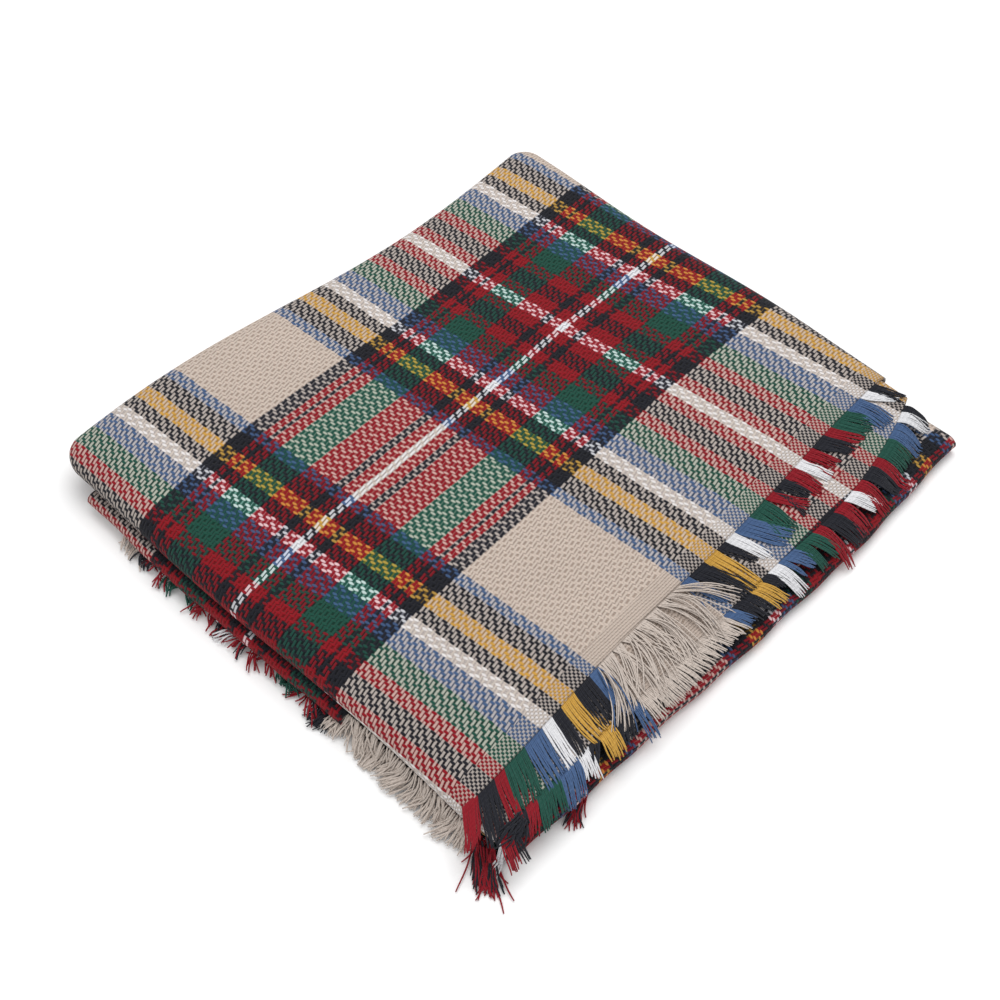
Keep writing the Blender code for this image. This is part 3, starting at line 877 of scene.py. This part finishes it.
def tartan():
    """The woven cloth: each yarn takes its stripe's colour, and the highest yarn shows.

    Every pick passes over three warp yarns and under one, and the raised yarn moves from pick to
    pick as RAISED says. A raised warp yarn swells over its neighbours as a small ellipse. The
    picks stand a little apart, and the sunken warp shows between them in painted shade: the colour
    is darkened where the yarns lie low. Each yarn is tinted by the one that it crosses, a sunken
    one most, partly as fuzz that blends the colours and partly as painted shade and bounced light
    from that neighbour. Near a fringe the weave is plain, and its painted shade is evener.
    """
    paint = Paint("tartan_cloth", 0.95, 0.06)
    place = paint.add("ShaderNodeUVMap", {"uv_map": "cloth"})
    solid = paint.add("ShaderNodeTexCoord", {}, output=3)
    split = paint.add("ShaderNodeSeparateXYZ", {}, [place])
    along, across = split, Number(paint, split.socket.node.outputs[1])
    drift, sway = paint.noise(solid, 60.0, 1.0) - 0.5, paint.noise(solid, 85.0, 1.0) - 0.5
    hair = paint.noise(solid, 1100.0, 3.0)
    to_end = paint.add("ShaderNodeAttribute", {"attribute_name": "to_end"}, output=2)
    ending = to_end.math("LESS_THAN", PLAIN_END)
    picks = along / (PICK * MM) * (1.0 + CLOSER_END * ending) + drift * 0.6
    yarns = across / (YARN * MM) + sway * 0.8
    pick, yarn = picks.floor(), yarns.floor()
    u, v = picks - pick - 0.5, yarns - yarn - 0.5

    inside, off = raised_yarns(picks, yarns, ending, 0.0)
    float_middle = (off % (4.0 - 2.0 * ending)) - 2.0 + ending
    u = u + float_middle * WEFT_SLANT
    for shift in (-1.0, 1.0):
        other, other_off = raised_yarns(picks, yarns, ending, shift)
        nearer = other.math("GREATER_THAN", inside)
        inside = inside.math("MAXIMUM", other)
        off = off + (other_off - off) * nearer
    inside = inside + (hair - 0.5) * 0.5
    raised = inside.above(0.05, 0.7)
    sunk = (1.0 - (v / 0.5) * (v / 0.5)).root() * SUNK
    half = WEFT_HALF + 0.10 * ending
    weft_height = (1.0 - (u / half) * (u / half)).root() * WEFT_TOP
    weft_shows = (weft_height - sunk + (hair - 0.5) * 0.2).above(0.0, 0.4) * (1.0 - raised)
    height = sunk.math("MAXIMUM", weft_height) * (1.0 - raised)
    height = height + raised * (0.6 + 0.4 * inside.root())

    warp_count = yarn + 0.5
    warp_count = warp_count + (yarns - off - warp_count) * raised.math("GREATER_THAN", 0.3)
    weft_count = (pick + 0.5) / (1.0 + CLOSER_END * ending)
    warp, warp_fuzz_and_shade_tint = (sett_ramp(paint, WARP_SETT, warp_count, kind) for kind in (YARNS, FUZZ_AND_SHADE_TINTS))
    weft, weft_fuzz_and_shade_tint = (sett_ramp(paint, WEFT_SETT, weft_count, kind) for kind in (YARNS, FUZZ_AND_SHADE_TINTS))
    # Painted shade and bounced light, with some fuzz blending: each yarn takes a tint from the yarn
    # it crosses, a sunken warp yarn most.
    seen_warp = paint.mix(0.84 - 0.42 * raised, warp, paint.mix(1.0, warp, weft_fuzz_and_shade_tint, "MULTIPLY"))
    seen_weft = paint.mix(0.36, weft, paint.mix(1.0, weft, warp_fuzz_and_shade_tint, "MULTIPLY"))
    colour = paint.mix(weft_shows, seen_warp, seen_weft)
    cloudy = paint.noise(solid, 30.0, 3.0)
    # Painted shade: the colour darkens where the weave lies low, in the gaps between picks and
    # beside raised floats, and is evened out near a fringe.
    shade_and_tone = 0.35 + 0.65 * height.root()
    shade_and_tone = shade_and_tone + ending * 0.6 * (0.84 - shade_and_tone)
    # Random tone from the fibres' hair and a cloudy noise, multiplied onto the painted shade.
    shade_and_tone = shade_and_tone * (0.82 + 0.36 * hair) * (0.93 + 0.14 * cloudy)
    shade_and_tone_grey = paint.add("ShaderNodeCombineColor", {}, [shade_and_tone, shade_and_tone, shade_and_tone])
    colour = paint.mix(1.0, colour, shade_and_tone_grey, "MULTIPLY")
    return paint.finish(colour, height + hair * 0.35, 0.6)


TWIST = 2.6  # length of one turn of a yarn's plies


def loose_yarn():
    """A spun yarn: its own colour, with painted shade between its turning plies, and a little
    uneven.
    """
    paint = Paint("fringe_yarn", 0.9, 0.08)
    place = paint.add("ShaderNodeUVMap", {"uv_map": "cloth"})
    solid = paint.add("ShaderNodeTexCoord", {}, output=3)
    split = paint.add("ShaderNodeSeparateXYZ", {}, [place])
    around = Number(paint, split.socket.node.outputs[1])
    turns = split / (TWIST * MM) + around / MM
    ply = (turns * (2.0 * math.pi)).math("SINE")
    colour = paint.add("ShaderNodeAttribute", {"attribute_name": "yarn"})
    hair = paint.noise(solid, 900.0, 3.0)
    # Painted shade in the grooves between the plies, times a random tone from the fibres' hair.
    shade_and_tone = (0.92 + 0.05 * ply) * (0.80 + 0.42 * hair)
    shade_and_tone_grey = paint.add("ShaderNodeCombineColor", {}, [shade_and_tone, shade_and_tone, shade_and_tone])
    colour = paint.mix(1.0, colour, shade_and_tone_grey, "MULTIPLY")
    return paint.finish(colour, ply * 0.5 + hair * 0.5, 0.15)


# ---------------------------------------------------------------------------------------
# Stage, light and camera
# ---------------------------------------------------------------------------------------

def floor():
    """A wide pale floor, a hair under the ground so that nothing lies in the same plane."""
    size = 6.0
    mesh = bpy.data.meshes.new("floor")
    mesh.from_pydata([(-size, -size, 0), (size, -size, 0), (size, size, 0), (-size, size, 0)],
                     [], [(0, 1, 2, 3)])
    paint = bpy.data.materials.new("pale_floor")
    paint.use_nodes = True
    shader = paint.node_tree.nodes["Principled BSDF"]
    shader.inputs["Base Color"].default_value = (0.95, 0.95, 0.95, 1.0)
    shader.inputs["Roughness"].default_value = 0.9
    shader.inputs["Specular IOR Level"].default_value = 0.1
    mesh.materials.append(paint)
    piece = bpy.data.objects.new("floor", mesh)
    piece.location.z = -0.0004
    bpy.context.scene.collection.objects.link(piece)


# Soft boxes round the pile: where each stands, its width and its power in watts.
LIGHTS = {
    "overhead_softbox": ((-0.25, 0.35, 1.35), 1.3, 15.0),
    "front_softbox": ((0.2, -1.3, 0.9), 1.0, 3.0),
    "right_softbox": ((1.3, -0.1, 0.9), 1.0, 1.5),
}


def lights():
    """Soft studio light: three wide boxes aimed at the middle, and an even pale surround."""
    for name, (place, width, power) in LIGHTS.items():
        lamp = bpy.data.lights.new(name, "AREA")
        lamp.shape, lamp.size, lamp.energy = "SQUARE", width, power
        piece = bpy.data.objects.new(name, lamp)
        piece.location = place
        piece.rotation_euler = (-Vector(place)).to_track_quat("-Z", "Y").to_euler()
        bpy.context.scene.collection.objects.link(piece)
    world = bpy.data.worlds.new("pale_surround")
    world.use_nodes = True
    background = world.node_tree.nodes["Background"]
    background.inputs["Color"].default_value = (1.0, 1.0, 1.0, 1.0)
    background.inputs["Strength"].default_value = 0.62
    bpy.context.scene.world = world
    bpy.context.scene.view_settings.view_transform = "Standard"


# The camera stands to the right of the front, high up.
CAMERA_PLACE = (0.4201, -0.44545, 0.8120)
CAMERA_RIGHT = (0.69581, 0.71793, 0.02047)
CAMERA_UP = (-0.58798, 0.55303, 0.59029)
CAMERA_LENS = 64.4


def camera():
    """The camera, from its place and the directions that are right and up in its picture."""
    data = bpy.data.cameras.new("camera")
    data.sensor_width, data.lens = 36.0, CAMERA_LENS
    data.clip_start, data.clip_end = 0.05, 20.0
    piece = bpy.data.objects.new("camera", data)
    right = Vector(CAMERA_RIGHT).normalized()
    back = right.cross(Vector(CAMERA_UP)).normalized()
    turned = Matrix((right, back.cross(right), back)).transposed().to_4x4()
    piece.matrix_world = Matrix.Translation(CAMERA_PLACE) @ turned
    bpy.context.scene.collection.objects.link(piece)
    bpy.context.scene.camera = piece


# ---------------------------------------------------------------------------------------
# The scarf
# ---------------------------------------------------------------------------------------

def flat_size(piece):
    """Width and length of the opened cloth of a piece, from its UV map, in metres."""
    uv = np.empty(len(piece.data.loops) * 2, np.float32)
    piece.data.uv_layers["cloth"].uv.foreach_get("vector", uv)
    return np.ptp(uv.reshape(-1, 2), axis=0).astype(float)


def scarf():
    """Every piece of the pile, and the opened size of five of them, worked out and not kept.

    The hidden layers share one solid.
    """
    cloth, yarn = tartan(), loose_yarn()
    even = np.linspace(0.0, 1.0, 150)
    top = cover("top_cloth", "top_layer", top_end, even, 200, cloth)
    closer_to_end = 1.0 - np.linspace(1.0, 0.0, 50) ** 1.6
    second = cover("second_cloth", "second_layer", second_end, closer_to_end, 180, cloth)
    lower, front, bottom = lower_fold(cloth), front_fold(cloth), bottom_layer(cloth)
    hidden = hidden_folds(cloth)
    ends = {name: end_fringe(name, yarn) for name in END_FRINGES}
    sides = {name: side_fringe(name, yarn) for name in SIDE_FRINGES}
    bunches = {name: bunch(name, yarn) for name in BUNCHES}

    flat_size(top)
    flat_size(second)
    flat_size(lower)
    flat_size(front)
    flat_size(bottom)


scarf()
floor()
lights()
camera()
